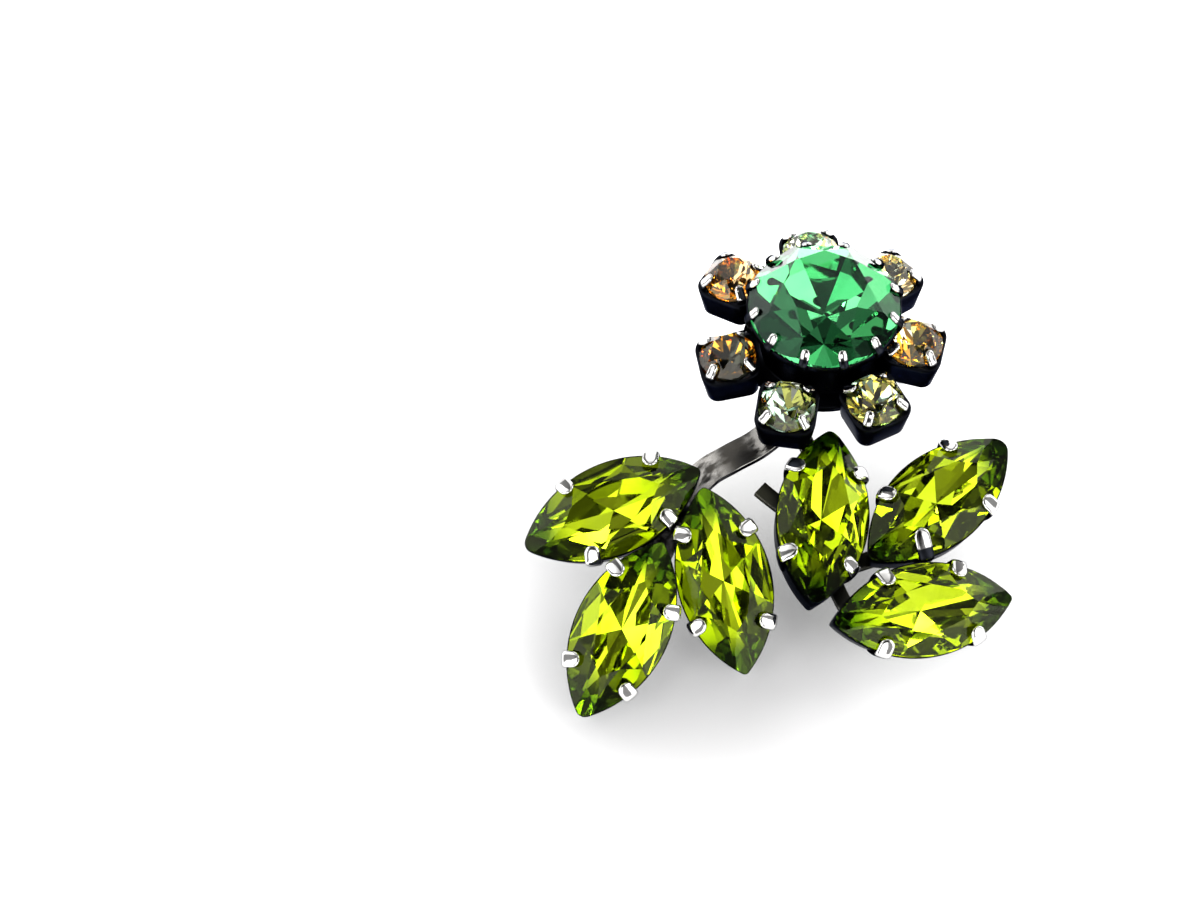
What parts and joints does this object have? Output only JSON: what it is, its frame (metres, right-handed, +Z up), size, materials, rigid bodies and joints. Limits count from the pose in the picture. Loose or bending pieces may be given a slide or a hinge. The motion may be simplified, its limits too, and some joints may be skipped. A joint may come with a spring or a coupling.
{
  "type": "flower brooch",
  "caption": "Brooch of a faceted round stone ringed by small stones in square cups, on a curved stem with two sprays of pointed leaf stones, with a pin back.",
  "frame": {"origin": "centre of the bounding box in X and Y, on the surface that the brooch lies on in Z", "axes": "+Z up from that surface towards the stones' tables, +Y from the leaf sprays towards the flower, +X from the left spray towards the right one"},
  "size_m": [0.0384, 0.041, 0.0138],
  "materials": {
    "metal": "plated in dark gunmetal, satin",
    "pin_metal": "satin steel",
    "flower_glass": "cut and polished, foiled behind",
    "petal_glass": "cut and polished, foiled behind",
    "leaf_glass": "cut and polished, foiled behind"
  },
  "bodies": {
    "root": {"frame": "metal", "pin_back": "pin_metal", "flower_stone": "flower_glass", "petal_stone_1": "petal_glass", "petal_stone_2": "petal_glass", "petal_stone_3": "petal_glass", "petal_stone_4": "petal_glass", "petal_stone_5": "petal_glass", "petal_stone_6": "petal_glass", "petal_stone_7": "petal_glass", "leaf_stone_1": "leaf_glass", "leaf_stone_2": "leaf_glass", "leaf_stone_3": "leaf_glass", "leaf_stone_4": "leaf_glass", "leaf_stone_5": "leaf_glass", "leaf_stone_6": "leaf_glass"}
  },
  "joints": []
}
